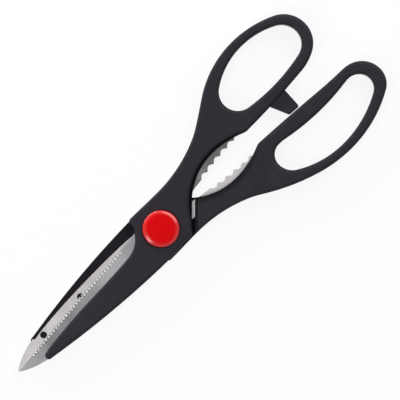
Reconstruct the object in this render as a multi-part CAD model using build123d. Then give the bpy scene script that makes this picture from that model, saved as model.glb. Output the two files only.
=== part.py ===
from build123d import *
import math
import os

# Kitchen shears, closed and lying on their back face. Sizes in mm, angles in degrees.
# +X runs from the pivot to the handles, +Y to the thumb ring and +Z up along the pivot.
# The origin is on the pivot axis, in the face that the shears lie on.
# Both halves share one plan. Each is drawn with its ring on the +Y side, its blade on the
# -Y side and its outer face up, over the shear plane at Z = 0, and the back half is turned over.
# A bend ratio says how the travel is shared out between two tangent arcs: the lower, the sooner it turns.

# Layers of one half, out from the shear plane
half_thickness = 5.0
steel_thickness = 2.0
blade_gap = 0.05
moulding_gap = 0.1
rim_radius = 1.6

# Blade steel
blade_reach = 93.3
tip_offset = 0.2
tip_angle = -60.0
heel_setback = 10.3
heel_overlap = 7.1
edge_crown = 0.41
shoulder_inset = 1.5
shoulder_offset = 5.9
shoulder_angle = -8.0
tip_arm_ratios = (0.15, 0.43)
spine_inset = 2.4
spine_step = 0.85
spine_rise = 10.0
spine_root_setback = 12.0
spine_root_offset = 7.0
spine_root_angle = 5.0
spine_arm_ratios = (0.25, 0.2)
hub_radius = 10.5
grind_width = 5.5
grind_angle = 12.0
bevel_width = 0.5
bevel_angle = 30.0
edge_width = 0.35
edge_land = 0.3

# Fine serrations on the front blade's edge
serration_start = 10.5
serration_heel_margin = 10.5
serration_pitch = 1.82
serration_radius = 0.5
serration_depth = 0.14
serration_length = 3.0

# Anchor holes that the moulding fills
tip_anchor_inset = 6.6
tip_anchor_offset = 3.7
mid_anchor_inset = 31.1
mid_anchor_offset = 4.15
anchor_radius = 1.6

# Tang and toothed jaw
tang_neck_x = 14.9
tang_neck_offset = 7.2
tang_inner_slope = 12.4
tang_root_reach = 19.6
tang_arm_ratios = (0.35, 0.35)
jaw_flat_x = 24.5
jaw_flat_offset = 2.3
jaw_teeth_x = 29.0
jaw_teeth_offset = 2.75
jaw_end_x = 56.0
jaw_end_offset = 5.2
jaw_crown = 0.5
tooth_pitch = 4.72
tooth_depth = 1.2
tooth_tip_width = 0.5
notch_floor_width = 1.3
notch_corner = 1.0
tang_tail_margin = 2.0
tang_tail_offset = 14.0
tang_corner = 2.0
tang_anchor_x = 48.0
tang_anchor_offset = 10.3

# Moulded blade cover
bare_tip = 13.7
nose_offset = 4.85
nose_length = 4.6
nose_inner_offset = 2.4
nose_outer_offset = 6.93
nose_height = 3.6
nose_bend_ratio = 1.0
cover_inner_angle = 7.0
cover_inner_bend_ratio = 1.18
cover_outer_angle = -9.0
cover_outer_bend_ratio = 1.98
cover_root_setback = 22.0
cover_root_offset = 0.95
cover_root_angle = 4.0
cover_root_bend_ratio = 0.4
cover_widest_setback = 8.0
cover_widest_offset = 12.78
taper_setback = 12.0

# Moulded boss and the slot beside it
boss_setback = 8.6
boss_side = 13.3
boss_corner = 1.9
boss_shoulder = 3.3
boss_low_offset = 12.1
boss_low_corner = 1.9
boss_edge_distance = 14.25
heel_lap = 0.1
heel_angle = 56.0
slot_width = 2.8
ledge_width = 1.4
ledge_height = 1.0

# Neck and jaw opening of the handles
waist_x = 11.0
waist_offset = 13.0
flare_x = 44.0
flare_offset = 21.6
flare_angle = 32.0
neck_bend_ratio = 1.62
jaw_peak_x = 41.0
jaw_peak_offset = 7.9
jaw_step_width = 1.3
jaw_step_height = 2.9
grip_x = 60.5
grip_offset = 3.9
grip_bend_ratio = 0.25

# Thumb ring, on the front half
thumb_hole_start = 60.8
thumb_hole_length = 47.8
thumb_hole_near = 9.93
thumb_hole_width = 23.45
thumb_start_height = 9.57
thumb_crest_reach = 24.7
thumb_top_setback = 2.0
thumb_end_height = 10.57
thumb_dip_reach = 21.2
thumb_hole_bend_ratios = (0.55, 1.2, 0.78, 0.98)
thumb_far_bar = 4.42
thumb_end_bar = 5.3
thumb_near_bar = 4.28
thumb_end_drop = 0.3
thumb_low_inset = 11.6
thumb_low_angle = 184.0
thumb_grip_angle = 180.0
thumb_outer_bend_ratios = (0.6, 1.12, 1.2, 0.23)

# Finger ring, on the back half
finger_hole_start = 59.3
finger_hole_length = 57.9
finger_hole_near = 10.85
finger_hole_width = 20.9
finger_start_height = 6.65
finger_dip_inset = 6.7
finger_swell_reach = 32.7
finger_swell = 2.52
finger_last_dip_inset = 7.2
finger_last_dip = 1.25
finger_end_height = 8.15
finger_crest_reach = 28.2
finger_top_advance = 1.0
finger_hole_bend_ratios = (1.5, 0.3, 1.7, 1.2, 0.4, 1.35)
finger_far_bar = 4.2
finger_end_bar = 6.4
finger_near_bar = 4.95
finger_end_rise = 0.2
finger_low_inset = 6.2
finger_low_angle = 181.0
finger_grip_angle = 183.0
finger_outer_bend_ratios = (1.2, 1.35, 1.78, 0.62)

# Closing stop on the thumb ring's inner bar
stop_root_x = 75.4
stop_root_width = 10.2
stop_tip_inset = 3.7
stop_tip_taper = 0.6
stop_thickness = 6.0
stop_gap = 0.35
stop_corner = 1.2

# Pivot bolt, from its flat head under the back half
head_radius = 6.5
head_clearance = 0.15
head_chamfer = 0.5
square_neck = 6.0
square_clearance = 0.03
square_recess = 0.05
journal_radius = 3.0
journal_clearance = 0.06
journal_overrun = 0.05
thread_radius = 2.5
thread_clearance = 0.03
thread_overrun = 0.3
thread_chamfer = 0.4

# Disc spring, plain washer and nut over the front blade
stack_clearance = 0.02
washer_clearance = 0.2
spring_radius = 5.7
spring_height = 0.8
spring_thickness = 0.4
washer_radius = 5.5
washer_thickness = 0.6
nut_across_flats = 8.0
nut_height = 2.4
nut_chamfer = 0.35

# Red cap over the nut
cap_radius = 8.5
cap_height = 2.85
cap_shoulder_radius = 6.2
cap_shoulder_height = 2.6
cap_shoulder_angle = -5.0
cap_slope_inset = 0.45
cap_slope_height = 2.05
cap_slope_angle = -28.0
cap_edge_height = 1.4
cap_wall = 0.9
cap_recess = 0.5
cap_recess_clearance = 0.3
cap_skirt_radius = 7.45
cap_skirt_length = 1.5
cap_skirt_wall = 0.95
cap_skirt_clearance = 0.04

# Places worked out from the sizes above
cover_nose_x = bare_tip - blade_reach
slot_wall_distance = boss_edge_distance + slot_width
steel_top = half_thickness + steel_thickness
spring_low = steel_top + stack_clearance
washer_low = spring_low + spring_height + stack_clearance
nut_low = washer_low + washer_thickness + stack_clearance
nut_top = nut_low + nut_height
cap_seat = 2 * half_thickness - cap_recess


def at(x, y):
    return Vector(x, y, 0)


def heading(angle):
    return Vector(math.cos(math.radians(angle)), math.sin(math.radians(angle)), 0)


def arc_pair(start, start_angle, end, end_angle, bend):
    """Two tangent arcs between two places with set headings."""
    leaving = heading(start_angle)
    arriving = heading(end_angle)
    travel = end - start
    square = travel.dot(travel)
    along = travel.dot(leaving + arriving)
    turn = 1 - leaving.dot(arriving)
    first = bend * square / (along + math.sqrt(along**2 + 2 * turn * square))
    second = (square / 2 - first * travel.dot(leaving)) / (travel.dot(arriving) + first * turn)
    share = first / (first + second)
    joint = (start + leaving * first) * (1 - share) + (end - arriving * second) * share
    opening = TangentArc(start, joint, tangent=leaving)
    return [opening, TangentArc(joint, end, tangent=opening % 1)]


def smooth_path(stations, bends):
    """Chain of tangent arcs through places with set headings."""
    path = []
    for (start, start_angle), (end, end_angle), bend in zip(stations, stations[1:], bends):
        path += arc_pair(start, start_angle, end, end_angle, bend)
    return path


def curve(start, start_angle, end, end_angle, out_reach, in_reach):
    """Smooth curve whose arms are shares of the travel along their own headings."""
    travel = end - start
    out_heading = heading(start_angle)
    in_heading = heading(end_angle)
    out_arm = out_heading * (abs(travel.dot(out_heading)) * out_reach)
    in_arm = in_heading * (abs(travel.dot(in_heading)) * in_reach)
    return Bezier(start, start + out_arm, end - in_arm, end)


def bowed_arc(start, end, crown):
    """Arc whose middle stands off its chord, to the left of the way from start to end."""
    chord = end - start
    left = Vector(-chord.Y, chord.X, 0).normalized()
    return ThreePointArc(start, (start + end) * 0.5 + left * crown, end)


def raised(sketch, low, high):
    """Prism between two heights."""
    return extrude(Pos(0, 0, low) * sketch, amount=high - low, dir=(0, 0, 1))


def turned_over(body):
    """Second half of the pair, from a half drawn in the shared plan."""
    return Rot(180, 0, 0) * body


def on_rest_face(body):
    """Moves a half from the shear plane to where the shears lie."""
    return Pos(0, 0, half_thickness) * body


# Steel of one half


def blade_tip():
    return at(-blade_reach, tip_offset)


def blade_heel():
    return at(-heel_setback, heel_overlap)


def cutting_edge():
    """Slightly bowed edge, run from the tip to the heel."""
    return bowed_arc(blade_tip(), blade_heel(), edge_crown)


def blade_plan():
    shoulder = at(cover_nose_x + shoulder_inset, -shoulder_offset)
    spine_start = at(cover_nose_x + spine_inset, spine_step - shoulder_offset)
    spine_root = at(-spine_root_setback, -spine_root_offset)
    hub_low = at(0, -spine_root_offset)
    hub_high = at(0, heel_overlap)
    return make_face(
        [
            curve(blade_tip(), tip_angle, shoulder, shoulder_angle, *tip_arm_ratios),
            Line(shoulder, spine_start),
            curve(spine_start, -spine_rise, spine_root, spine_root_angle, *spine_arm_ratios),
            Polyline(spine_root, hub_low, hub_high, blade_heel()),
            cutting_edge(),
        ]
    )


def jaw_line():
    return bowed_arc(at(jaw_teeth_x, jaw_teeth_offset), at(jaw_end_x, jaw_end_offset), jaw_crown)


def jaw_notch():
    """Notch with sloping sides and a rounded floor, cut up from the line of the teeth."""
    mouth = (tooth_pitch - tooth_tip_width) / 2
    floor = notch_floor_width / 2
    notch = make_face(
        Polyline(
            at(-mouth, -tooth_depth),
            at(-mouth, 0),
            at(-floor, tooth_depth),
            at(floor, tooth_depth),
            at(mouth, 0),
            at(mouth, -tooth_depth),
            close=True,
        )
    )
    return fillet(notch.vertices().group_by(Axis.Y)[-1], notch_corner)


def jaw_notches():
    """Row of notches that leave the gripping teeth between them."""
    line = jaw_line()
    notches = Sketch()
    for number in range(round(line.length / tooth_pitch)):
        distance = (number + 0.5) * tooth_pitch
        place = line.position_at(distance, position_mode=PositionMode.LENGTH)
        along = line.tangent_at(distance, position_mode=PositionMode.LENGTH)
        notches += Plane(origin=place, x_dir=along, z_dir=(0, 0, 1)) * jaw_notch()
    return notches


def tang_plan():
    tail_x = jaw_end_x + tang_tail_margin
    flat_start = at(jaw_flat_x, jaw_flat_offset)
    teeth_start = at(jaw_teeth_x, jaw_teeth_offset)
    teeth_end = at(jaw_end_x, jaw_end_offset)
    inner_root = flat_start - heading(tang_inner_slope) * tang_root_reach
    neck = at(tang_neck_x, tang_neck_offset)
    tail_high = at(tail_x, tang_tail_offset)
    plan = make_face(
        [
            Polyline(inner_root, flat_start, teeth_start),
            jaw_line(),
            Polyline(teeth_end, at(tail_x, jaw_end_offset + tang_tail_margin), tail_high),
            curve(tail_high, 180, neck, 180 + tang_inner_slope, *tang_arm_ratios),
            Polyline(neck, inner_root + at(0, tang_neck_offset), inner_root),
        ]
    )
    tail_corner = plan.vertices().sort_by_distance(tail_high)[0]
    return fillet(tail_corner, tang_corner) - jaw_notches()


def anchor_holes():
    """Round holes through the steel, two under the cover and one in the tang."""
    places = [
        at(cover_nose_x + tip_anchor_inset, -tip_anchor_offset),
        at(cover_nose_x + mid_anchor_inset, -mid_anchor_offset),
        at(tang_anchor_x, tang_anchor_offset),
    ]
    return Sketch() + [Pos(place) * Circle(anchor_radius) for place in places]


def bevel_top():
    """Height at which the wide grind meets the narrow bevel."""
    return steel_thickness - (grind_width - bevel_width) * math.tan(math.radians(grind_angle))


def bevel_low():
    """Height at which the narrow bevel meets the steep cutting edge."""
    return bevel_top() - (bevel_width - edge_width) * math.tan(math.radians(bevel_angle))


def grind():
    """Wide grind, narrow bevel and steep edge, turned about the centre of the cutting edge."""
    edge = cutting_edge()
    centre = edge.arc_center
    radius = edge.radius
    start = blade_heel() - centre
    sweep = (blade_tip() - centre).get_angle(start) * 1.1
    profile = Plane(origin=centre, x_dir=start, z_dir=start.cross(Vector(0, 0, 1))) * make_face(
        Polyline(
            (radius - grind_width, steel_thickness),
            (radius - bevel_width, bevel_top()),
            (radius - edge_width, bevel_low()),
            (radius, edge_land),
            (radius + bevel_width, edge_land),
            (radius + bevel_width, 2 * steel_thickness),
            (radius - grind_width, 2 * steel_thickness),
            close=True,
        )
    )
    return revolve(profile, axis=Axis(centre, (0, 0, 1)), revolution_arc=sweep)


def serrations():
    """Fine grooves across the bevel, at one pitch along the cutting edge."""
    edge = cutting_edge()
    run = edge.length - serration_start - serration_heel_margin
    tilt = math.radians(bevel_angle)
    grooves = []
    for number in range(int(run / serration_pitch) + 1):
        distance = serration_start + number * serration_pitch
        place = edge.position_at(distance, position_mode=PositionMode.LENGTH)
        along = edge.tangent_at(distance, position_mode=PositionMode.LENGTH)
        across = Vector(-along.Y, along.X, 0)
        slope = across * math.cos(tilt) - Vector(0, 0, math.sin(tilt))
        lift = along.cross(slope) * (serration_depth - serration_radius)
        base = place - across * edge_width + Vector(0, 0, bevel_low()) + lift
        grooves.append(Plane(origin=base, z_dir=slope) * Cylinder(serration_radius, serration_length))
    return grooves


def steel_half(bore):
    """Stamped and ground steel with blade, hub and toothed jaw in one piece."""
    plan = blade_plan() + Circle(hub_radius) + tang_plan() - anchor_holes() - bore
    return raised(plan, blade_gap / 2, steel_thickness) - grind()


# Moulding of one half


def flare():
    return at(flare_x, flare_offset)


def grip():
    return at(grip_x, grip_offset)


def thumb_ring():
    """Outer edges from the flare to the grip, and the hole inside them."""
    left = thumb_hole_start
    right = left + thumb_hole_length
    near = thumb_hole_near
    far = near + thumb_hole_width
    start = at(left, near + thumb_start_height)
    crest = at(left + thumb_crest_reach, far)
    end = at(right, near + thumb_end_height)
    dip = at(left + thumb_dip_reach, near)
    stations = [(start, 90), (crest, 0), (end, -90), (dip, 180), (start, 90)]
    hole = make_face(smooth_path(stations, thumb_hole_bend_ratios))
    outer = [
        (flare(), flare_angle),
        (at(crest.X - thumb_top_setback, far + thumb_far_bar), 0),
        (at(right + thumb_end_bar, end.Y - thumb_end_drop), -90),
        (at(right - thumb_low_inset, near - thumb_near_bar), thumb_low_angle),
        (grip(), thumb_grip_angle),
    ]
    return smooth_path(outer, thumb_outer_bend_ratios), hole, thumb_grip_angle


def finger_low():
    """Inner corner of the finger ring's far end."""
    right = finger_hole_start + finger_hole_length
    return at(right - finger_low_inset, finger_hole_near + finger_last_dip - finger_near_bar)


def finger_ring():
    """Longer ring, whose near bar swells between the fingers."""
    left = finger_hole_start
    right = left + finger_hole_length
    near = finger_hole_near
    far = near + finger_hole_width
    start = at(left, near + finger_start_height)
    first_dip = at(left + finger_dip_inset, near)
    swell = at(left + finger_swell_reach, near + finger_swell)
    last_dip = at(right - finger_last_dip_inset, near + finger_last_dip)
    end = at(right, near + finger_end_height)
    crest = at(left + finger_crest_reach, far)
    stations = [
        (start, -90),
        (first_dip, 0),
        (swell, 0),
        (last_dip, 0),
        (end, 90),
        (crest, 180),
        (start, -90),
    ]
    hole = make_face(smooth_path(stations, finger_hole_bend_ratios))
    outer = [
        (flare(), flare_angle),
        (at(crest.X + finger_top_advance, far + finger_far_bar), 0),
        (at(right + finger_end_bar, end.Y + finger_end_rise), -90),
        (finger_low(), finger_low_angle),
        (grip(), finger_grip_angle),
    ]
    return smooth_path(outer, finger_outer_bend_ratios), hole, finger_grip_angle


def cover_and_neck():
    """Edges from the nose of the cover, round the boss, to the flare of the ring."""
    stations = [
        (at(cover_nose_x, -nose_offset), 90),
        (at(cover_nose_x + nose_length, -nose_inner_offset), cover_inner_angle),
        (at(-cover_root_setback, cover_root_offset), cover_root_angle),
        (at(heel_lap - heel_setback, heel_overlap - heel_lap), heel_angle),
        (at(-boss_setback, boss_side - boss_shoulder), 90),
    ]
    top = [(boss_high(), 0), (at(waist_x, waist_offset), 0), (flare(), flare_angle)]
    side = smooth_path(stations, (nose_bend_ratio, cover_inner_bend_ratio, cover_root_bend_ratio, 1))
    return side + [Line(stations[-1][0], boss_high())] + smooth_path(top, (1, neck_bend_ratio))


def boss_high():
    return at(-boss_setback, boss_side)


def boss_low():
    """Corner of the boss, on the line of its slanting edge."""
    return at(boss_edge_distance * math.sqrt(2) - boss_low_offset, -boss_low_offset)


def jaw_arc():
    """Arc from the peak of the jaw opening to the slanting edge of the boss."""
    peak = at(jaw_peak_x, jaw_peak_offset)
    radius = (peak.X - peak.Y - boss_edge_distance * math.sqrt(2)) / (math.sqrt(2) - 1)
    return JernArc(peak, (-1, 0), radius, 45)


def jaw_and_slot(grip_angle):
    """Edges from the grip, round the jaw opening, down the slanting edge of the boss."""
    jaw = jaw_arc()
    peak = jaw @ 0
    return arc_pair(grip(), grip_angle, peak, 180, grip_bend_ratio) + [jaw, Line(jaw @ 1, boss_low())]


def cover_outside():
    """Edges from the boss, along the outside of the cover, to its nose."""
    widest = at(-cover_widest_setback, -cover_widest_offset)
    shoulder = at(cover_nose_x + nose_length, -nose_outer_offset)
    back = arc_pair(boss_low(), 180, widest, 180, 1)
    side = arc_pair(shoulder, cover_outer_angle, widest, 0, cover_outer_bend_ratio)
    nose = arc_pair(at(cover_nose_x, -nose_offset), -90, shoulder, cover_outer_angle, nose_bend_ratio)
    return back + side + nose


def moulding_plan(ring):
    outer, hole, grip_angle = ring
    plan = make_face(cover_and_neck() + outer + jaw_and_slot(grip_angle) + cover_outside())
    plan = fillet(plan.vertices().sort_by_distance(boss_high())[0], boss_corner)
    plan = fillet(plan.vertices().sort_by_distance(boss_low())[0], boss_low_corner)
    return plan - hole


def cover_taper():
    """Everything above a long arc that falls from the boss to the nose of the cover."""
    run = -taper_setback - cover_nose_x
    fall = half_thickness - nose_height
    radius = (run**2 + fall**2) / (2 * fall)
    width = 4 * boss_side
    block = Pos(cover_nose_x, 0, half_thickness) * Box(2 * run, width, 4 * fall)
    drum = Pos(-taper_setback, 0, half_thickness - radius) * Rot(90, 0, 0) * Cylinder(radius, width)
    return block - drum


def rim_edges(body, towards):
    """Outer boundary of all faces that look up or down."""
    level = half_thickness / 2
    facing = [face for face in body.faces() if face.normal_at().Z * towards > 0.9]
    faces = [face for face in facing if face.center().Z * towards > level]
    edges = [edge for face in faces for edge in face.edges()]
    return [edge for edge in edges if edges.count(edge) == 1]


def slot_cutter(reach, low, high):
    """Everything on the blade's side of the slanting slot wall, between two heights."""
    size = 4 * blade_reach
    block = Pos(reach - size / 2, 0, (low + high) / 2) * Box(size, size, high - low)
    return Rot(0, 0, 45) * block


def jaw_step():
    """Round cutter that lowers a strip of the moulding along the toothed jaw."""
    jaw = jaw_arc()
    strip = Pos(jaw.arc_center) * Circle(jaw.radius + jaw_step_width)
    return raised(strip, jaw_step_height, 2 * half_thickness)


def moulding_blank(ring):
    """Rounded body of the moulding, stepped at the jaw, and at the slot to pass the other half."""
    body = raised(moulding_plan(ring), -half_thickness, half_thickness) - cover_taper()
    body = fillet(rim_edges(body, 1), rim_radius)
    body = fillet(rim_edges(body, -1), rim_radius) - jaw_step()
    body -= slot_cutter(slot_wall_distance, -half_thickness, -ledge_height)
    return body - slot_cutter(slot_wall_distance - ledge_width, -ledge_height, moulding_gap)


def stop_tab():
    """Tab that reaches across from the thumb ring until it meets the other inner bar."""
    low = finger_low()
    slope = (low.Y - grip_offset) / (low.X - grip_x)
    left = stop_root_x + stop_tip_inset
    right = stop_root_x + stop_root_width
    tip_left = at(left, stop_gap - grip_offset - slope * (left - grip_x))
    tip_right = at(right - stop_tip_taper, stop_gap - grip_offset - slope * (right - grip_x))
    root = (grip_offset + thumb_hole_near) / 2
    plan = make_face(
        Polyline(
            at(stop_root_x, root),
            at(stop_root_x, grip_offset),
            tip_left,
            tip_right,
            at(right, root),
            close=True,
        )
    )
    for corner in (tip_left, tip_right):
        plan = fillet(plan.vertices().sort_by_distance(corner)[0], stop_corner)
    return raised(plan, -stop_thickness / 2, stop_thickness / 2)


def front_bore():
    """Seat of the cap's skirt, and the shallow recess that the cap lies in."""
    skirt = raised(Circle(cap_skirt_radius + cap_skirt_clearance), 0, half_thickness)
    recess = Circle(cap_radius + cap_recess_clearance)
    return skirt + raised(recess, half_thickness - cap_recess, half_thickness)


def back_bore():
    return raised(Circle(head_radius + head_clearance), 0, half_thickness)


# Pivot hardware, in place over the rest face


def pivot_bolt():
    """Flat head, square neck that the back blade holds, journal and threaded end."""
    head_top = half_thickness - steel_thickness
    square_top = half_thickness - square_recess
    journal_top = steel_top + journal_overrun
    head = raised(Circle(head_radius), 0, head_top)
    head = chamfer(head.edges().group_by(Axis.Z)[0], head_chamfer)
    neck = raised(Rectangle(square_neck, square_neck), head_top, square_top)
    journal = raised(Circle(journal_radius), square_top, journal_top)
    thread = raised(Circle(thread_radius), journal_top, nut_top + thread_overrun)
    thread = chamfer(thread.edges().group_by(Axis.Z)[-1], thread_chamfer)
    return head + neck + journal + thread


def spring_washer():
    """Dished disc spring, with its outer rim on the front blade."""
    bore = thread_radius + washer_clearance
    top = spring_low + spring_height
    section = Polyline(
        (bore, top - spring_thickness),
        (bore, top),
        (spring_radius, spring_low + spring_thickness),
        (spring_radius, spring_low),
        close=True,
    )
    return revolve(Plane.XZ * make_face(section), axis=Axis.Z)


def plain_washer():
    ring = Circle(washer_radius) - Circle(thread_radius + washer_clearance)
    return raised(ring, washer_low, washer_low + washer_thickness)


def pivot_nut():
    """Hexagon nut with its corners turned off."""
    hexagon = RegularPolygon(nut_across_flats / 2, 6, major_radius=False)
    blank = raised(hexagon - Circle(thread_radius + thread_clearance), nut_low, nut_top)
    envelope = raised(Circle(nut_across_flats / math.sqrt(3)), nut_low, nut_top)
    return blank & chamfer(envelope.edges(), nut_chamfer)


def pivot_cap():
    """Shallow crowned cap with a skirt that presses into the front boss."""
    top = at(0, cap_seat + cap_height)
    shoulder = at(cap_shoulder_radius, cap_seat + cap_shoulder_height)
    slope = at(cap_radius - cap_slope_inset, cap_seat + cap_slope_height)
    rim = at(cap_radius, cap_seat + cap_edge_height)
    bore = cap_skirt_radius - cap_skirt_wall
    skirt_low = cap_seat - cap_skirt_length
    stations = [(top, 0), (shoulder, cap_shoulder_angle), (slope, cap_slope_angle), (rim, -90)]
    outside = smooth_path(stations, (1, 1, 1))
    inside = Polyline(
        rim,
        at(cap_radius, cap_seat),
        at(cap_skirt_radius, cap_seat),
        at(cap_skirt_radius, skirt_low),
        at(bore, skirt_low),
        at(bore, shoulder.Y - cap_wall),
        at(0, top.Y - cap_wall),
        top,
    )
    return revolve(Plane.XZ * make_face(outside + [inside]), axis=Axis.Z)


def shears():
    """Every piece under its own name, closed and in place."""
    front_blade = steel_half(Circle(journal_radius + journal_clearance)) - serrations()
    square = square_neck + 2 * square_clearance
    back_blade = steel_half(Rectangle(square, square))
    front_handle = moulding_blank(thumb_ring()) + stop_tab() - front_blade - front_bore()
    back_handle = moulding_blank(finger_ring()) - back_blade - back_bore()
    return {
        "front_blade": on_rest_face(front_blade),
        "front_handle": on_rest_face(front_handle),
        "back_blade": on_rest_face(turned_over(back_blade)),
        "back_handle": on_rest_face(turned_over(back_handle)),
        "pivot_bolt": pivot_bolt(),
        "spring_washer": spring_washer(),
        "plain_washer": plain_washer(),
        "pivot_nut": pivot_nut(),
        "pivot_cap": pivot_cap(),
    }


if __name__ == "__main__":
    os.makedirs("parts", exist_ok=True)
    for name, solid in shears().items():
        export_step(solid, f"parts/{name}.step")
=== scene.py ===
import math

import bpy
from bpy.props import FloatProperty, FloatVectorProperty, PointerProperty
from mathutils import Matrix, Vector

bl_info = {
    "name": "Kitchen Shears Finish",
    "version": (1, 0, 0),
    "blender": (4, 5, 0),
    "location": "3D View > Sidebar > Shears",
    "description": "Moulded, ground and glossy finishes for a pair of kitchen shears, and their studio",
    "category": "Material",
}

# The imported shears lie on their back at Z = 0, with the pivot on the Z axis and the rings at +X
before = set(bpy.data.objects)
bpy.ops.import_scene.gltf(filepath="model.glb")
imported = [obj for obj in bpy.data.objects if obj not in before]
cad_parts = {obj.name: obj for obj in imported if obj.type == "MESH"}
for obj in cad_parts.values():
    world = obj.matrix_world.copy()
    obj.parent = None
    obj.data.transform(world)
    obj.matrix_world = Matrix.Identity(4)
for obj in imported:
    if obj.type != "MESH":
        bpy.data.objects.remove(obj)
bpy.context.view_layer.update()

MM = 0.001
X, Z = 0, 2

# The half that a finish is for. The back half mirrors the plan of the front half
FRONT, BACK = 1, -1

# Cutting edge of the front blade, a shallow arc from the tip to the heel
EDGE_TIP = Vector((-93.3, 0.2)) * MM
EDGE_HEEL = Vector((-10.3, 7.1)) * MM
EDGE_CROWN = 0.41 * MM

# The same reach holds a painted highlight in each serration and a painted dark line on the land
# Fresh grinding beside the cutting edge: its reach, the share of that in which it fades, its roughness
FRESH_AND_PAINTED_REACH = 1.3 * MM
FRESH_AND_PAINTED_FADE = 0.1
FRESH_ROUGHNESS = 0.65

# Height of the plane between the two halves, and how near to it the moulding is in its full shade
SHEAR_PLANE = 5 * MM
INNER_REACH = 0.2 * MM

# Round edge of the toothed jaw opening and the step beside it, in the plan of the front half
JAW_CENTRE = Vector((41.0, -23.36)) * MM
JAW_RADIUS = 31.26 * MM
JAW_STEP_WIDTH = 1.3 * MM
JAW_STEP_HEIGHT = 2.9 * MM

# Shade round the jaw opening: the rim in full shade, its reach on the face and its fading at the step
JAW_RIM = 0.3 * MM
JAW_SHADE_REACH = 3.0 * MM
JAW_FADE = 0.2 * MM

# Strength of the shade near the shear plane, round the jaw and on the face next to the jaw
INNER_SHADE = 0.62
JAW_SHADE = 0.9
JAW_FACE_SHADE = 0.95

# Strength of the wear on the sharp edges of the moulding
EDGE_WEAR = 0.5

# Colours of single places, beside those that can be chosen in the panel
SHADED_PLASTIC = (0.004, 0.0035, 0.0045)
# Painted dark line on the land beside the cutting edge, and painted highlight in each serration
PAINTED_DARK_LAND_GREY = (0.125, 0.123, 0.125)
PAINTED_SERRATION_HIGHLIGHT = (0.72, 0.71, 0.72)
DARK_PLATING = (0.42, 0.42, 0.43)
LIGHT_PLATING = (0.6, 0.6, 0.6)

# Specular level of the moulding in the open and in the shade, and of the cap's top and rim
PLASTIC_GLOSS = 0.13
SHADED_GLOSS = 0.01
CAP_TOP_GLOSS = 0.08
CAP_RIM_GLOSS = 0.55

# How far up a face looks where one kind of face starts to give way to the next, and where it has
FLAT_TO_GRIND = (0.997, 0.985)
GRIND_TO_BEVEL = (0.972, 0.955)
CAP_TOP_TO_RIM = (0.992, 0.93)

# How far a face leans along the blade, on the land between two serrations and in a serration
LAND_TO_SERRATION = (0.06, 0.2)

# How well the rounded and the true normal match, on a plain face and on a fully rubbed edge
PLAIN_TO_RUBBED = (0.98, 0.8)

# Range that holds most of a random pattern
PATTERN_RANGE = (0.3, 0.7)

# Depth of the marks of grinding and turning, and of the ripples in the cap
GRINDING_DEPTH = 0.004 * MM
TURNING_DEPTH = 0.006 * MM
RIPPLE_DEPTH = 0.01 * MM

# Painted reflections along both blades, and a painted shadow of the moulding's rim on the front jaw
# Grey of each blade from the tip to the jaw, as pairs of a place in mm and a share of its colour
FRONT_PAINTED_LIGHT_GREYS = (
    (-93, 0.8),
    (-82, 0.68),
    (-72, 0.43),
    (-60, 0.56),
    (-50, 0.59),
    (-40, 0.74),
    (-30, 0.9),
    (-20, 0.75),
    (-12, 0.65),
    (18, 0.31),
    (58, 0.31),
)
BACK_PAINTED_LIGHT_GREYS = (
    (-93, 0.61),
    (-82, 0.64),
    (-65, 0.72),
    (-40, 0.67),
    (-30, 0.71),
    (18, 0.84),
    (58, 0.84),
)

# Soft lamps: the place, the point that it faces, and the width and height, in metres
KEY_LAMP = ((0.15, 1.25, 0.42), (0.015, 0.0, 0.0), (1.6, 0.3))
RIGHT_WINDOW = ((0.9, 0.16, 0.9), (0, 0, 0), (1.0, 0.62))
LEFT_WINDOW = ((-0.72, 0.05, 0.96), (0, 0, 0), (0.34, 0.8))

# Power of the two smaller lamps, in watts
RIGHT_POWER = 10.0
LEFT_POWER = 6.4

# Floor: the radii of its two rings in metres, the corners of each and its drop below the shears
FLOOR_RADII = (0.5, 6.0)
FLOOR_CORNERS = 48
FLOOR_DROP = 0.02 * MM

# Share of plain white in the floor where it is seen directly. The rest takes the shadows
FLOOR_WHITE = 0.88

# How fast the light from all round fades towards the top
HEIGHT_FALLOFF = 2.0

# Camera: its place in plan, its turn about the height, and the height that its distance starts from
CAMERA_PLACE = (22.05 * MM, -3.32 * MM)
CAMERA_TURN = math.radians(-45)
HANDLE_TOP = 10 * MM

# Lens and sensor in mm, and the nearest and the farthest place that is drawn, in metres
LENS_LENGTH = 300
SENSOR_WIDTH = 36
NEAREST_SEEN = 0.05
FARTHEST_SEEN = 50


# Sizes and colours


def colour_setting(name, description, default):
    limits = {"subtype": "COLOR", "size": 3, "min": 0, "max": 1}
    return FloatVectorProperty(name=name, description=description, default=default, **limits)


def share_setting(name, description, default):
    limits = {"subtype": "FACTOR", "min": 0, "max": 1}
    return FloatProperty(name=name, description=description, default=default, **limits)


def length_setting(name, description, default, low, high):
    limits = {"unit": "LENGTH", "min": low, "max": high}
    return FloatProperty(name=name, description=description, default=default, **limits)


class PlasticLook(bpy.types.PropertyGroup):
    colour: colour_setting("Colour", "Charcoal of the moulded handles", (0.0178, 0.0156, 0.0218))
    worn_colour: colour_setting("Worn Colour", "Paler grey of rubbed places", (0.048, 0.046, 0.05))
    grain: length_setting("Grain", "Width of the grains of the mould", 0.45 * MM, 0.05 * MM, 5 * MM)
    grain_depth: length_setting("Grain Depth", "Height of the grains", 0.02 * MM, 0, 0.5 * MM)
    roughness: share_setting("Roughness", "How matt the moulding is", 0.5)


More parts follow.
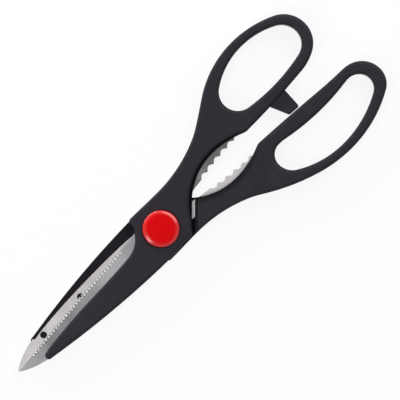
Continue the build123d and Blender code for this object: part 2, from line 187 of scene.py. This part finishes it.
class SteelLook(bpy.types.PropertyGroup):
    # Both blades are one steel: the front is painted darker and the back lighter, as painted reflections
    front_painted_reflection_grey: colour_setting("Front Blade", "Grey of the ground front blade", (0.4, 0.393, 0.408))
    back_painted_reflection_grey: colour_setting("Back Blade", "Lighter grey of the back blade", (0.6, 0.575, 0.59))
    line: length_setting("Line Width", "Width of the grinding lines", 0.2 * MM, 0.02 * MM, 2 * MM)
    roughness: share_setting("Roughness", "How satin the steel is", 0.34)


class CapLook(bpy.types.PropertyGroup):
    colour: colour_setting("Colour", "Red of the cap", (0.68, 0.001, 0.003))
    roughness: share_setting("Roughness", "Gloss of the cap, low when it is shiny", 0.16)


class StudioLook(bpy.types.PropertyGroup):
    floor_colour: colour_setting("Floor", "Colour of the floor and the backdrop", (1.0, 1.0, 1.0))
    camera_distance: length_setting(
        "Camera Distance", "From the lens to the top of the handles", 1.5333, 0.1, 5
    )
    key_power: FloatProperty(
        name="Key Power",
        description="Power of the large soft lamp",
        unit="POWER",
        min=0,
        max=200,
        default=12.0,
    )
    fill_light: FloatProperty(
        name="Fill Light",
        description="Light that comes from all round, most of it from low down",
        min=0,
        max=2,
        default=0.7,
    )


# Building blocks of the finishes


def give(tree, socket, value):
    """Links a socket to another one, or sets it to a constant."""
    if isinstance(value, bpy.types.NodeSocket):
        tree.links.new(value, socket)
    else:
        socket.default_value = value


def add_node(tree, kind, inputs=None, **settings):
    """Adds a node with its settings, and feeds or sets its inputs."""
    node = tree.nodes.new("ShaderNode" + kind)
    for name, value in settings.items():
        setattr(node, name, value)
    for name, value in (inputs or {}).items():
        give(tree, node.inputs[name], value)
    return node


def calculate(tree, operation, first, second=0.0, clamp=False):
    node = add_node(tree, "Math", {0: first, 1: second}, operation=operation, use_clamp=clamp)
    return node.outputs[0]


def spread(tree, value, low, high, to_low=0.0, to_high=1.0):
    """Moves a value from one range to another, and keeps it there."""
    inputs = {"Value": value, "From Min": low, "From Max": high, "To Min": to_low, "To Max": to_high}
    return add_node(tree, "MapRange", inputs).outputs[0]


def varied(tree, pattern, low, high):
    """Value that follows a random pattern from one bound to the other."""
    return spread(tree, pattern, *PATTERN_RANGE, low, high)


def place_on_piece(tree):
    return add_node(tree, "TexCoord").outputs["Object"]


def component(tree, vector, axis):
    """One of the three numbers of a place or a direction."""
    return add_node(tree, "SeparateXYZ", {0: vector}).outputs[axis]


def squeezed(tree, place, amounts):
    node = add_node(tree, "VectorMath", {0: place, 1: amounts}, operation="MULTIPLY")
    return node.outputs[0]


def turned(tree, vector, angle):
    """Place or direction, turned about the height."""
    inputs = {"Vector": vector, "Angle": angle}
    return add_node(tree, "VectorRotate", inputs, rotation_type="Z_AXIS").outputs[0]


def cloud(tree, place, size, detail=3.0, roughness=0.55):
    """Soft random pattern whose patches are about one size across."""
    inputs = {"Vector": place, "Scale": 1 / size, "Detail": detail, "Roughness": roughness}
    return add_node(tree, "TexNoise", inputs).outputs["Fac"]


def tinted(colour, strength=1.0):
    """Colour for a socket, at full strength or darker."""
    return (*(strength * part for part in colour), 1)


def mixed(tree, share, first, second, blend="MIX"):
    """Two colours in one."""
    inputs = {0: share, 6: first, 7: second}
    return add_node(tree, "Mix", inputs, data_type="RGBA", blend_type=blend).outputs[2]


def blended(tree, share, first, second):
    """Two values in one."""
    return add_node(tree, "Mix", {0: share, 2: first, 3: second}, data_type="FLOAT").outputs[0]


def relief(tree, height, depth, below):
    inputs = {"Height": height, "Distance": depth, "Strength": 1.0, "Normal": below}
    return add_node(tree, "Bump", inputs).outputs[0]


def true_normal(tree):
    return add_node(tree, "NewGeometry").outputs["True Normal"]


def upward(tree):
    """How far a face looks up or down: 1 for a level face and 0 for a wall."""
    return calculate(tree, "ABSOLUTE", component(tree, true_normal(tree), Z))


def leaning_along(tree, line_angle):
    """How far a face leans along the closed blade: near 0 on its land, more in a serration."""
    return calculate(tree, "ABSOLUTE", component(tree, turned(tree, true_normal(tree), line_angle), X))


def edge_softness(tree, radius):
    """Normal that rounds the sharp edges off."""
    return add_node(tree, "Bevel", {"Radius": radius}, samples=4).outputs[0]


def edge_rub(tree, radius):
    """Share of wear, which is greatest along sharp edges."""
    inputs = {0: edge_softness(tree, radius), 1: true_normal(tree)}
    match = add_node(tree, "VectorMath", inputs, operation="DOT_PRODUCT").outputs["Value"]
    return spread(tree, match, *PLAIN_TO_RUBBED)


def above_plane(tree, place):
    """Height over the shear plane, which is negative in the back half."""
    return calculate(tree, "SUBTRACT", component(tree, place, Z), SHEAR_PLANE)


def plan_distance(tree, place, centre, side=FRONT):
    """Distance in plan from a centre, which is given as in the front half."""
    inputs = {0: squeezed(tree, place, (1.0, side, 0.0)), 1: (*centre, 0.0)}
    return add_node(tree, "VectorMath", inputs, operation="DISTANCE").outputs["Value"]


def edge_distance(tree, place, side):
    """How far in from the cutting edge a point lies."""
    chord = EDGE_HEEL - EDGE_TIP
    radius = (chord.length**2 / 4 + EDGE_CROWN**2) / (2 * EDGE_CROWN)
    inward = Vector((chord.y, -chord.x)).normalized()
    centre = (EDGE_TIP + EDGE_HEEL) / 2 + inward * (radius - EDGE_CROWN)
    return calculate(tree, "SUBTRACT", radius, plan_distance(tree, place, centre, side))


def jaw_shadow(tree, place, side):
    """Share of shade on the step beside the jaw, on the thin rim below it and on the face next to it."""
    beyond = calculate(tree, "SUBTRACT", plan_distance(tree, place, JAW_CENTRE, side), JAW_RADIUS)
    outward = calculate(tree, "MULTIPLY", above_plane(tree, place), side)
    step_top = JAW_STEP_HEIGHT - JAW_FADE / 2
    step_edge = JAW_STEP_WIDTH + JAW_FADE / 4
    on_step = spread(tree, outward, step_top - JAW_FADE, step_top)
    step = spread(tree, beyond, step_edge + JAW_FADE, step_edge)
    rim = spread(tree, beyond, 2 * JAW_RIM, JAW_RIM)
    face = spread(tree, beyond, JAW_SHADE_REACH, JAW_RIM, to_high=JAW_FACE_SHADE)
    covered = calculate(tree, "MAXIMUM", calculate(tree, "MULTIPLY", step, on_step), rim)
    return calculate(tree, "MAXIMUM", covered, face)


def painted_light_along_blade(tree, place, painted_greys):
    """Painted reflection and shadow: grey that changes from the tip to the jaw."""
    start = painted_greys[0][0]
    end = painted_greys[-1][0]
    share = spread(tree, component(tree, place, X), start * MM, end * MM)
    ramp = add_node(tree, "ValToRGB", {0: share})
    stops = ramp.color_ramp.elements
    while len(stops) < len(painted_greys):
        stops.new(position=0.5)
    for stop, (x_mm, grey) in zip(stops, painted_greys):
        stop.position = (x_mm - start) / (end - start)
        stop.color = (grey, grey, grey, 1)
    return ramp.outputs[0]


def empty_tree(owner):
    """Node tree of a material or of the surroundings, with nothing in it yet."""
    owner.use_nodes = True
    owner.node_tree.nodes.clear()
    return owner.node_tree


def new_finish(name):
    """Empty material with a surface to build on."""
    finish = bpy.data.materials.new(name)
    tree = empty_tree(finish)
    surface = add_node(tree, "BsdfPrincipled")
    add_node(tree, "OutputMaterial", {0: surface.outputs[0]})
    return finish, tree, surface


def feed(tree, surface, **inputs):
    """Feeds or sets the inputs of a surface, named with _ for a space."""
    for name, value in inputs.items():
        give(tree, surface.inputs[name.replace("_", " ")], value)


def wear(node_name, finish):
    """Gives a CAD node its finish."""
    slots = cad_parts[node_name].material_slots
    for slot in slots:
        slot.link = "OBJECT"
        slot.material = finish


# Finishes


def moulded_plastic(name, look, side):
    """Matt charcoal moulding with spark-eroded grain, flow marks, scratches and rubbed patches."""
    finish, tree, surface = new_finish(name)
    place = place_on_piece(tree)
    grain = cloud(tree, place, look.grain, detail=4.0, roughness=0.6)
    flow = cloud(tree, squeezed(tree, place, (0.35, 1.0, 1.0)), size=14 * MM)
    patches = cloud(tree, place, size=22 * MM, detail=5.0, roughness=0.7)
    rub = spread(tree, patches, low=0.56, high=0.78, to_high=0.55)
    hairline = cloud(tree, squeezed(tree, place, (0.04, 1.0, 1.0)), size=0.3 * MM, detail=2.0)
    scratch = spread(tree, hairline, low=0.66, high=0.72, to_high=0.35)
    worn = calculate(tree, "MAXIMUM", calculate(tree, "MULTIPLY", rub, grain), scratch)
    worn_edge = calculate(tree, "MULTIPLY", edge_rub(tree, radius=0.35 * MM), EDGE_WEAR)
    worn = calculate(tree, "MAXIMUM", worn, worn_edge)
    streaky = spread(tree, flow, low=0.35, high=0.65)
    shade = mixed(tree, streaky, tinted(look.colour), tinted(look.colour, strength=0.86))
    shade = mixed(tree, worn, shade, tinted(look.worn_colour))

    # Painted shade: darker and less glossy near the shear plane and round the jaw opening
    from_plane = calculate(tree, "ABSOLUTE", above_plane(tree, place))
    inner = spread(tree, from_plane, 2 * INNER_REACH, INNER_REACH, to_high=INNER_SHADE)
    beside_jaw = calculate(tree, "MULTIPLY", jaw_shadow(tree, place, side), JAW_SHADE)
    dark = calculate(tree, "MAXIMUM", inner, beside_jaw)
    shade = mixed(tree, dark, shade, tinted(SHADED_PLASTIC))
    swing = 0.06
    roughness = varied(tree, flow, look.roughness - swing, look.roughness + swing)
    gloss = spread(tree, dark, 0.0, 1.0, PLASTIC_GLOSS, SHADED_GLOSS)
    bump = relief(tree, grain, look.grain_depth, edge_softness(tree, radius=0.2 * MM))
    feed(tree, surface, Base_Color=shade, Roughness=roughness, Normal=bump, Specular_IOR_Level=gloss)
    return finish


def ground_steel(name, look, colour, side, painted_greys):
    """Satin stainless steel: brushed along the flats, ground across the blade, freshly ground beside the
    edge, with painted reflections, shadow and highlights.
    """
    finish, tree, surface = new_finish(name)
    place = place_on_piece(tree)
    level = upward(tree)
    line_angle = side * (EDGE_HEEL - EDGE_TIP).angle_signed(Vector((1, 0)))
    on_blade = turned(tree, place, line_angle)
    along = cloud(tree, squeezed(tree, on_blade, (0.03, 1.0, 1.0)), look.line, detail=2.0)
    across = cloud(tree, squeezed(tree, on_blade, (1.0, 0.05, 1.0)), look.line, detail=2.0)
    lines = blended(tree, spread(tree, level, *FLAT_TO_GRIND), along, across)
    stain = cloud(tree, place, size=9 * MM, detail=4.0)
    shade = mixed(tree, varied(tree, lines, 0.0, 1.0), tinted(colour, strength=0.8), tinted(colour))
    # Painted reflection along the blade, and painted shadow on the front jaw
    shade = mixed(tree, 1.0, shade, painted_light_along_blade(tree, place, painted_greys), blend="MULTIPLY")
    stained = spread(tree, stain, low=0.42, high=0.75, to_high=0.3)
    shade = mixed(tree, stained, shade, tinted(colour, strength=0.7))

    inset = edge_distance(tree, place, side)
    beside = spread(tree, inset, FRESH_AND_PAINTED_REACH, (1 - FRESH_AND_PAINTED_FADE) * FRESH_AND_PAINTED_REACH)
    fresh_and_painted = calculate(tree, "MULTIPLY", beside, spread(tree, level, *GRIND_TO_BEVEL))
    serration = spread(tree, leaning_along(tree, line_angle), *LAND_TO_SERRATION)
    # Painted dark line on the land and painted highlight in each serration, beside the cutting edge
    painted_edge_light = mixed(tree, serration, tinted(PAINTED_DARK_LAND_GREY), tinted(PAINTED_SERRATION_HIGHLIGHT))
    shade = mixed(tree, fresh_and_painted, shade, painted_edge_light)
    smoother = look.roughness - 0.05
    rougher = look.roughness + 0.07
    roughness = varied(tree, stain, smoother, rougher)
    roughness = blended(tree, fresh_and_painted, roughness, FRESH_ROUGHNESS)
    bump = relief(tree, lines, GRINDING_DEPTH, edge_softness(tree, radius=0.08 * MM))
    feed(tree, surface, Base_Color=shade, Metallic=1.0, Roughness=roughness, Normal=bump)
    return finish


def turned_hardware(name):
    """Bright plated steel with the rings that a lathe leaves."""
    finish, tree, surface = new_finish(name)
    place = place_on_piece(tree)
    radial = add_node(tree, "CombineXYZ", {0: plan_distance(tree, place, (0.0, 0.0))}).outputs[0]
    rings = cloud(tree, radial, size=0.15 * MM, detail=2.0)
    stain = cloud(tree, place, size=3 * MM, detail=4.0)
    shade = mixed(tree, stain, tinted(DARK_PLATING), tinted(LIGHT_PLATING))
    roughness = varied(tree, rings, low=0.22, high=0.36)
    bump = relief(tree, rings, TURNING_DEPTH, edge_softness(tree, radius=0.15 * MM))
    feed(tree, surface, Base_Color=shade, Metallic=1.0, Roughness=roughness, Normal=bump)
    return finish


def glossy_cap(name, look):
    """Glossy red moulding with faint ripples and hairlines, glossiest on its rim."""
    finish, tree, surface = new_finish(name)
    place = place_on_piece(tree)
    ripple = cloud(tree, place, size=2.5 * MM, detail=1.0)
    tint = cloud(tree, place, size=6 * MM)
    hairline = cloud(tree, squeezed(tree, place, (0.05, 1.0, 1.0)), size=0.12 * MM, detail=2.0)
    shade = mixed(tree, tint, tinted(look.colour, strength=0.88), tinted(look.colour))
    rougher = look.roughness + 0.12
    roughness = spread(tree, hairline, 0.45, 0.75, to_low=look.roughness, to_high=rougher)
    gloss = spread(tree, upward(tree), *CAP_TOP_TO_RIM, CAP_TOP_GLOSS, CAP_RIM_GLOSS)
    bump = relief(tree, ripple, RIPPLE_DEPTH, edge_softness(tree, radius=0.15 * MM))
    feed(tree, surface, Base_Color=shade, Roughness=roughness, Normal=bump, Specular_IOR_Level=gloss)
    return finish


# Studio


def shown_directly(tree):
    """1 where the camera, a reflection or a clear piece looks at the floor or the surroundings."""
    path = add_node(tree, "LightPath")
    share = calculate(tree, "ADD", path.outputs["Is Camera Ray"], path.outputs["Is Glossy Ray"])
    return calculate(tree, "ADD", share, path.outputs["Is Transmission Ray"], clamp=True)


def add_lamp(name, place, aim, size, power):
    """Soft lamp of a set size, turned to face its aim."""
    light = bpy.data.lights.new(name, "AREA")
    light.shape = "RECTANGLE"
    light.size, light.size_y = size
    light.energy = power
    lamp = bpy.data.objects.new(name, light)
    lamp.location = place
    lamp.rotation_mode = "QUATERNION"
    lamp.rotation_quaternion = (Vector(aim) - Vector(place)).to_track_quat("-Z", "Y")
    lamp.visible_camera = False
    bpy.context.scene.collection.objects.link(lamp)


def add_camera(distance):
    """Camera that looks straight down on the shears."""
    lens = bpy.data.cameras.new("camera")
    lens.lens = LENS_LENGTH
    lens.sensor_width = SENSOR_WIDTH
    lens.clip_start = NEAREST_SEEN
    lens.clip_end = FARTHEST_SEEN
    camera = bpy.data.objects.new("camera", lens)
    camera.location = (*CAMERA_PLACE, HANDLE_TOP + distance)
    camera.rotation_euler = (0, 0, CAMERA_TURN)
    bpy.context.scene.collection.objects.link(camera)
    bpy.context.scene.camera = camera


def floor_disc():
    """Round floor under the shears, wide enough to reach the horizon."""
    points = [(0, 0, 0)]
    for radius in FLOOR_RADII:
        for step in range(FLOOR_CORNERS):
            angle = 2 * math.pi * step / FLOOR_CORNERS
            points.append((radius * math.cos(angle), radius * math.sin(angle), 0))
    faces = [(0, 1 + step, 1 + (step + 1) % FLOOR_CORNERS) for step in range(FLOOR_CORNERS)]
    for step in range(FLOOR_CORNERS):
        after = (step + 1) % FLOOR_CORNERS
        faces.append((1 + step, 1 + FLOOR_CORNERS + step, 1 + FLOOR_CORNERS + after, 1 + after))
    mesh = bpy.data.meshes.new("floor")
    mesh.from_pydata(points, [], faces)
    floor = bpy.data.objects.new("floor", mesh)
    floor.location.z = -FLOOR_DROP
    bpy.context.scene.collection.objects.link(floor)
    return floor


def floor_finish(colour):
    """Pale floor that is white to look at and still takes a soft shadow."""
    finish = bpy.data.materials.new("studio_floor")
    tree = empty_tree(finish)
    paper = cloud(tree, place_on_piece(tree), size=3 * MM, detail=4.0)
    shade = mixed(tree, paper, tinted(colour, strength=0.93), tinted(colour, strength=0.97))
    matt = add_node(tree, "BsdfDiffuse", {"Color": shade})
    glow = add_node(tree, "Emission", {"Color": tinted(colour), "Strength": 1.0})
    share = calculate(tree, "MULTIPLY", shown_directly(tree), FLOOR_WHITE)
    both = add_node(tree, "MixShader", {0: share, 1: matt.outputs[0], 2: glow.outputs[0]})
    add_node(tree, "OutputMaterial", {0: both.outputs[0]})
    return finish


def studio_world(colour, fill):
    """White surroundings that light the shears from all sides, and least from above."""
    world = bpy.data.worlds.new("studio")
    tree = empty_tree(world)
    height = component(tree, add_node(tree, "TexCoord").outputs["Generated"], Z)
    depth = spread(tree, height, 0.0, 1.0, to_low=1.0, to_high=0.0)
    low_light = calculate(tree, "POWER", depth, HEIGHT_FALLOFF)
    low_light = calculate(tree, "MULTIPLY", low_light, fill)
    strength = calculate(tree, "MAXIMUM", low_light, shown_directly(tree))
    glow = add_node(tree, "Background", {"Color": tinted(colour), "Strength": strength})
    add_node(tree, "OutputWorld", {0: glow.outputs[0]})
    return world


# Steps, in the order in which the shears are finished


class SHEARS_OT_handles(bpy.types.Operator):
    """Gives both handles their grained charcoal moulding"""

    bl_idname = "shears.handles"
    bl_label = "Moulded Handles"

    def execute(self, context):
        look = context.scene.shears_plastic
        wear("front_handle", moulded_plastic("front_black_moulding", look, FRONT))
        wear("back_handle", moulded_plastic("back_black_moulding", look, BACK))
        return {"FINISHED"}


class SHEARS_OT_blades(bpy.types.Operator):
    """Gives both blades their ground and brushed steel"""

    bl_idname = "shears.blades"
    bl_label = "Ground Blades"

    def execute(self, context):
        look = context.scene.shears_steel
        front = ground_steel("front_blade_steel", look, look.front_painted_reflection_grey, FRONT, FRONT_PAINTED_LIGHT_GREYS)
        back = ground_steel("back_blade_steel", look, look.back_painted_reflection_grey, BACK, BACK_PAINTED_LIGHT_GREYS)
        wear("front_blade", front)
        wear("back_blade", back)
        return {"FINISHED"}


class SHEARS_OT_hardware(bpy.types.Operator):
    """Gives the bolt, the washers and the nut their turned steel"""

    bl_idname = "shears.hardware"
    bl_label = "Turned Hardware"

    def execute(self, context):
        finish = turned_hardware("pivot_steel")
        for name in ("pivot_bolt", "spring_washer", "plain_washer", "pivot_nut"):
            wear(name, finish)
        return {"FINISHED"}


class SHEARS_OT_cap(bpy.types.Operator):
    """Gives the pivot cap its glossy red"""

    bl_idname = "shears.cap"
    bl_label = "Red Cap"

    def execute(self, context):
        wear("pivot_cap", glossy_cap("red_cap", context.scene.shears_cap))
        return {"FINISHED"}


class SHEARS_OT_studio(bpy.types.Operator):
    """Lays the floor and sets the lamps and the camera"""

    bl_idname = "shears.studio"
    bl_label = "Studio"

    def execute(self, context):
        look = context.scene.shears_studio
        scene = context.scene
        scene.view_settings.view_transform = "Standard"
        scene.world = studio_world(look.floor_colour, look.fill_light)
        floor = floor_disc()
        floor.data.materials.append(floor_finish(look.floor_colour))
        add_lamp("key_lamp", *KEY_LAMP, look.key_power)
        add_lamp("right_window", *RIGHT_WINDOW, RIGHT_POWER)
        add_lamp("left_window", *LEFT_WINDOW, LEFT_POWER)
        add_camera(look.camera_distance)
        return {"FINISHED"}


STEPS = (SHEARS_OT_handles, SHEARS_OT_blades, SHEARS_OT_hardware, SHEARS_OT_cap, SHEARS_OT_studio)


class SHEARS_PT_steps(bpy.types.Panel):
    """Lists the steps that finish the shears"""

    bl_label = "Kitchen Shears"
    bl_idname = "SHEARS_PT_steps"
    bl_space_type = "VIEW_3D"
    bl_region_type = "UI"
    bl_category = "Shears"

    def draw(self, context):
        for step in STEPS:
            self.layout.operator(step.bl_idname)
        for name in LOOKS:
            box = self.layout.box()
            look = getattr(context.scene, name)
            for prop in look.bl_rna.properties:
                if not prop.is_readonly and prop.identifier != "name":
                    box.prop(look, prop.identifier)


LOOKS = {
    "shears_plastic": PlasticLook,
    "shears_steel": SteelLook,
    "shears_cap": CapLook,
    "shears_studio": StudioLook,
}


def register():
    for look in LOOKS.values():
        bpy.utils.register_class(look)
    for name, look in LOOKS.items():
        setattr(bpy.types.Scene, name, PointerProperty(type=look))
    for step in STEPS:
        bpy.utils.register_class(step)
    bpy.utils.register_class(SHEARS_PT_steps)


def unregister():
    bpy.utils.unregister_class(SHEARS_PT_steps)
    for step in reversed(STEPS):
        bpy.utils.unregister_class(step)
    for name in LOOKS:
        delattr(bpy.types.Scene, name)
    for look in reversed(LOOKS.values()):
        bpy.utils.unregister_class(look)


def main():
    register()
    bpy.ops.shears.handles()
    bpy.ops.shears.blades()
    bpy.ops.shears.hardware()
    bpy.ops.shears.cap()
    bpy.ops.shears.studio()


if __name__ == "__main__":
    main()
